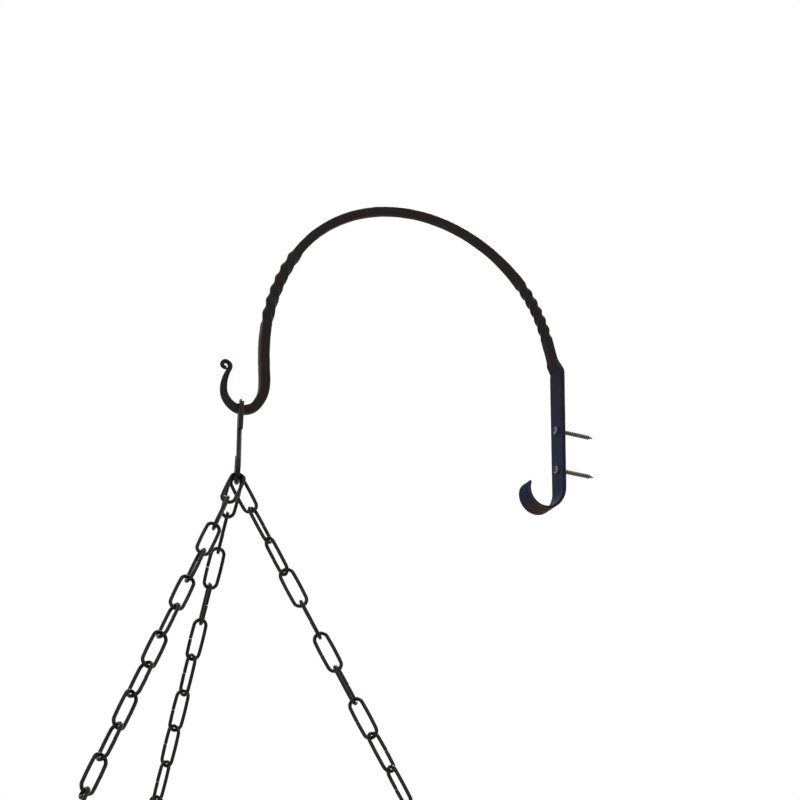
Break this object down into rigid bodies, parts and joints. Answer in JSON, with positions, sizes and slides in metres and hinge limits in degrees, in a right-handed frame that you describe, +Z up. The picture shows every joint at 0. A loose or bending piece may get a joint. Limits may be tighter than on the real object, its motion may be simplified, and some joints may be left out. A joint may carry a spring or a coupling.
{
  "type": "bracket plant stand",
  "caption": "Forged wall bracket for a hanging plant: arched arm of twisted square bar, curled wall strip and scrolled hook, carrying an S-hook and splayed basket chains of long links",
  "frame": {"origin": "on the wall face, midway between the two screws", "axes": "+X to the bracket's side, +Y into the wall along the screws, -Y out into the room, +Z up"},
  "size_m": [0.3375, 0.5769, 0.7315],
  "materials": {
    "blackened_iron": "hand forged, brown-black wax over scale, blue-black on the strip",
    "screw_paint": "pale cream paint, satin",
    "dark_wire": "black paint on drawn wire, semi-gloss"
  },
  "bodies": {
    "bracket": {"bracket": "blackened_iron", "screws": "screw_paint"},
    "s_hook": {"s_hook": "dark_wire"},
    "right_link_01": {"right_link_01": "dark_wire"},
    "right_link_02": {"right_link_02": "dark_wire"},
    "right_link_03": {"right_link_03": "dark_wire"},
    "right_link_04": {"right_link_04": "dark_wire"},
    "right_link_05": {"right_link_05": "dark_wire"},
    "right_link_06": {"right_link_06": "dark_wire"},
    "right_link_07": {"right_link_07": "dark_wire"},
    "right_link_08": {"right_link_08": "dark_wire"},
    "right_link_09": {"right_link_09": "dark_wire"},
    "right_link_10": {"right_link_10": "dark_wire"},
    "right_link_11": {"right_link_11": "dark_wire"},
    "right_end_hook": {"right_end_hook": "dark_wire"},
    "middle_link_01": {"middle_link_01": "dark_wire"},
    "middle_link_02": {"middle_link_02": "dark_wire"},
    "middle_link_03": {"middle_link_03": "dark_wire"},
    "middle_link_04": {"middle_link_04": "dark_wire"},
    "middle_link_05": {"middle_link_05": "dark_wire"},
    "middle_link_06": {"middle_link_06": "dark_wire"},
    "middle_link_07": {"middle_link_07": "dark_wire"},
    "middle_link_08": {"middle_link_08": "dark_wire"},
    "middle_link_09": {"middle_link_09": "dark_wire"},
    "middle_link_10": {"middle_link_10": "dark_wire"},
    "middle_link_11": {"middle_link_11": "dark_wire"},
    "middle_end_hook": {"middle_end_hook": "dark_wire"},
    "left_link_01": {"left_link_01": "dark_wire"},
    "left_link_02": {"left_link_02": "dark_wire"},
    "left_link_03": {"left_link_03": "dark_wire"},
    "left_link_04": {"left_link_04": "dark_wire"},
    "left_link_05": {"left_link_05": "dark_wire"},
    "left_link_06": {"left_link_06": "dark_wire"},
    "left_link_07": {"left_link_07": "dark_wire"},
    "left_link_08": {"left_link_08": "dark_wire"},
    "left_link_09": {"left_link_09": "dark_wire"},
    "left_link_10": {"left_link_10": "dark_wire"},
    "left_link_11": {"left_link_11": "dark_wire"},
    "left_end_hook": {"left_end_hook": "dark_wire"}
  },
  "joints": [
    {"name": "s_hook_swing", "type": "hinge", "parent": "bracket", "child": "s_hook", "pos_m": [0, -0.36311, -0.03393], "axis": [-0.1736, -0.9848, 0], "range_deg": [-30, 30]},
    {"name": "right_link_01_swing", "type": "hinge", "parent": "s_hook", "child": "right_link_01", "pos_m": [0, -0.36311, -0.10553], "axis": [0.9848, -0.1736, 0], "range_deg": [-25, 20]},
    {"name": "right_link_02_swing", "type": "hinge", "parent": "right_link_01", "child": "right_link_02", "pos_m": [0.00722, -0.34763, -0.13636], "axis": [0.3696, 0.7927, 0.4848], "range_deg": [-30, 30]},
    {"name": "right_link_03_swing", "type": "hinge", "parent": "right_link_02", "child": "right_link_03", "pos_m": [0.0146, -0.33181, -0.16785], "axis": [0.6001, -0.7623, -0.2424], "range_deg": [-30, 30]},
    {"name": "right_link_04_swing", "type": "hinge", "parent": "right_link_03", "child": "right_link_04", "pos_m": [0.02197, -0.31599, -0.19934], "axis": [-0.9697, -0.0303, -0.2424], "range_deg": [-30, 30]},
    {"name": "right_link_05_swing", "type": "hinge", "parent": "right_link_04", "child": "right_link_05", "pos_m": [0.02935, -0.30017, -0.23082], "axis": [-0.3696, -0.7927, -0.4848], "range_deg": [-45, 45]},
    {"name": "right_link_06_swing", "type": "hinge", "parent": "right_link_05", "child": "right_link_06", "pos_m": [0.03673, -0.28435, -0.26231], "axis": [-0.8706, 0.4901, 0.0423], "range_deg": [-45, 45]},
    {"name": "right_link_07_swing", "type": "hinge", "parent": "right_link_06", "child": "right_link_07", "pos_m": [0.0441, -0.26854, -0.29379], "axis": [0.4472, 0.7528, 0.483], "range_deg": [-45, 45]},
    {"name": "right_link_08_swing", "type": "hinge", "parent": "right_link_07", "child": "right_link_08", "pos_m": [0.05148, -0.25272, -0.32528], "axis": [0.7252, -0.6682, -0.1658], "range_deg": [-45, 45]},
    {"name": "right_link_09_swing", "type": "hinge", "parent": "right_link_08", "child": "right_link_09", "pos_m": [0.05885, -0.2369, -0.35677], "axis": [0.6573, 0.6003, 0.4556], "range_deg": [-30, 30]},
    {"name": "right_link_10_swing", "type": "hinge", "parent": "right_link_09", "child": "right_link_10", "pos_m": [0.06623, -0.22108, -0.38825], "axis": [-0.2994, 0.8789, 0.3714], "range_deg": [-45, 45]},
    {"name": "right_link_11_swing", "type": "hinge", "parent": "right_link_10", "child": "right_link_11", "pos_m": [0.07361, -0.20526, -0.41974], "axis": [-0.9697, -0.0303, -0.2424], "range_deg": [-45, 45]},
    {"name": "right_end_hook_swing", "type": "hinge", "parent": "right_link_11", "child": "right_end_hook", "pos_m": [0.08098, -0.18945, -0.45123], "axis": [-0.1225, -0.875, -0.4683], "range_deg": [-45, 45]},
    {"name": "middle_link_01_swing", "type": "hinge", "parent": "s_hook", "child": "middle_link_01", "pos_m": [-0.00719, -0.36185, -0.10329], "axis": [-0.8149, 0.1437, 0.5615], "range_deg": [-30, 15]},
    {"name": "middle_link_02_swing", "type": "hinge", "parent": "middle_link_01", "child": "middle_link_02", "pos_m": [-0.02427, -0.36244, -0.13412], "axis": [-0.0349, 0.9994, 0], "range_deg": [-45, 45]},
    {"name": "middle_link_03_swing", "type": "hinge", "parent": "middle_link_02", "child": "middle_link_03", "pos_m": [-0.04171, -0.36305, -0.16561], "axis": [0.8333, -0.3131, -0.4556], "range_deg": [-45, 45]},
    {"name": "middle_link_04_swing", "type": "hinge", "parent": "middle_link_03", "child": "middle_link_04", "pos_m": [-0.05915, -0.36366, -0.19709], "axis": [-0.1174, -0.9895, 0.0842], "range_deg": [-45, 45]},
    {"name": "middle_link_05_swing", "type": "hinge", "parent": "middle_link_04", "child": "middle_link_05", "pos_m": [-0.0766, -0.36427, -0.22858], "axis": [-0.8669, 0.1435, 0.4774], "range_deg": [-45, 45]},
    {"name": "middle_link_06_swing", "type": "hinge", "parent": "middle_link_05", "child": "middle_link_06", "pos_m": [-0.09404, -0.36488, -0.26007], "axis": [0.1109, -0.9929, -0.0423], "range_deg": [-45, 45]},
    {"name": "middle_link_07_swing", "type": "hinge", "parent": "middle_link_06", "child": "middle_link_07", "pos_m": [-0.11148, -0.36549, -0.29155], "axis": [0.8353, 0.2881, -0.4683], "range_deg": [-45, 45]},
    {"name": "middle_link_08_swing", "type": "hinge", "parent": "middle_link_07", "child": "middle_link_08", "pos_m": [-0.12892, -0.3661, -0.32304], "axis": [-0.1862, 0.9789, 0.0842], "range_deg": [-45, 45]},
    {"name": "middle_link_09_swing", "type": "hinge", "parent": "middle_link_08", "child": "middle_link_09", "pos_m": [-0.14637, -0.36671, -0.35452], "axis": [-0.7395, -0.5261, 0.4199], "range_deg": [-45, 45]},
    {"name": "middle_link_10_swing", "type": "hinge", "parent": "middle_link_09", "child": "middle_link_10", "pos_m": [-0.16381, -0.36732, -0.38601], "axis": [0.5299, -0.8011, -0.2781], "range_deg": [-45, 45]},
    {"name": "middle_link_11_swing", "type": "hinge", "parent": "middle_link_10", "child": "middle_link_11", "pos_m": [-0.18125, -0.36792, -0.4175], "axis": [0.5934, 0.7283, -0.3428], "range_deg": [-45, 45]},
    {"name": "middle_end_hook_swing", "type": "hinge", "parent": "middle_link_11", "child": "middle_end_hook", "pos_m": [-0.19869, -0.36853, -0.44898], "axis": [-0.5886, 0.746, 0.3116], "range_deg": [-45, 45]},
    {"name": "left_link_01_swing", "type": "hinge", "parent": "s_hook", "child": "left_link_01", "pos_m": [0.0063, -0.36423, -0.10385], "axis": [-0.8572, 0.1511, -0.4923], "range_deg": [-20, 30]},
    {"name": "left_link_02_swing", "type": "hinge", "parent": "left_link_01", "child": "left_link_02", "pos_m": [0.01532, -0.3781, -0.13497], "axis": [0.3334, 0.8932, -0.3018], "range_deg": [-45, 45]},
    {"name": "left_link_03_swing", "type": "hinge", "parent": "left_link_02", "child": "left_link_03", "pos_m": [0.02452, -0.39228, -0.16676], "axis": [-0.9331, 0.1385, -0.332], "range_deg": [-45, 45]},
    {"name": "left_link_04_swing", "type": "hinge", "parent": "left_link_03", "child": "left_link_04", "pos_m": [0.03373, -0.40645, -0.19854], "axis": [-0.0871, -0.919, 0.3846], "range_deg": [-45, 45]},
    {"name": "left_link_05_swing", "type": "hinge", "parent": "left_link_04", "child": "left_link_05", "pos_m": [0.04293, -0.42063, -0.23033], "axis": [0.9633, 0.1807, 0.1984], "range_deg": [-45, 45]},
    {"name": "left_link_06_swing", "type": "hinge", "parent": "left_link_05", "child": "left_link_06", "pos_m": [0.05214, -0.4348, -0.26212], "axis": [-0.0871, -0.919, 0.3846], "range_deg": [-45, 45]},
    {"name": "left_link_07_swing", "type": "hinge", "parent": "left_link_06", "child": "left_link_07", "pos_m": [0.06134, -0.44898, -0.2939], "axis": [-0.9346, -0.3344, -0.1215], "range_deg": [-45, 45]},
    {"name": "left_link_08_swing", "type": "hinge", "parent": "left_link_07", "child": "left_link_08", "pos_m": [0.07055, -0.46315, -0.32569], "axis": [-0.0814, 0.9013, -0.4255], "range_deg": [-45, 45]},
    {"name": "left_link_09_swing", "type": "hinge", "parent": "left_link_08", "child": "left_link_09", "pos_m": [0.07975, -0.47732, -0.35747], "axis": [0.8387, 0.5446, 0], "range_deg": [-45, 45]},
    {"name": "left_link_10_swing", "type": "hinge", "parent": "left_link_09", "child": "left_link_10", "pos_m": [0.08896, -0.4915, -0.38926], "axis": [0.3279, -0.8238, 0.4623], "range_deg": [-45, 45]},
    {"name": "left_link_11_swing", "type": "hinge", "parent": "left_link_10", "child": "left_link_11", "pos_m": [0.09816, -0.50567, -0.42105], "axis": [-0.9094, -0.4078, -0.0815], "range_deg": [-45, 45]},
    {"name": "left_end_hook_swing", "type": "hinge", "parent": "left_link_11", "child": "left_end_hook", "pos_m": [0.10737, -0.51985, -0.45283], "axis": [-0.2474, 0.8562, -0.4535], "range_deg": [-45, 45]}
  ]
}
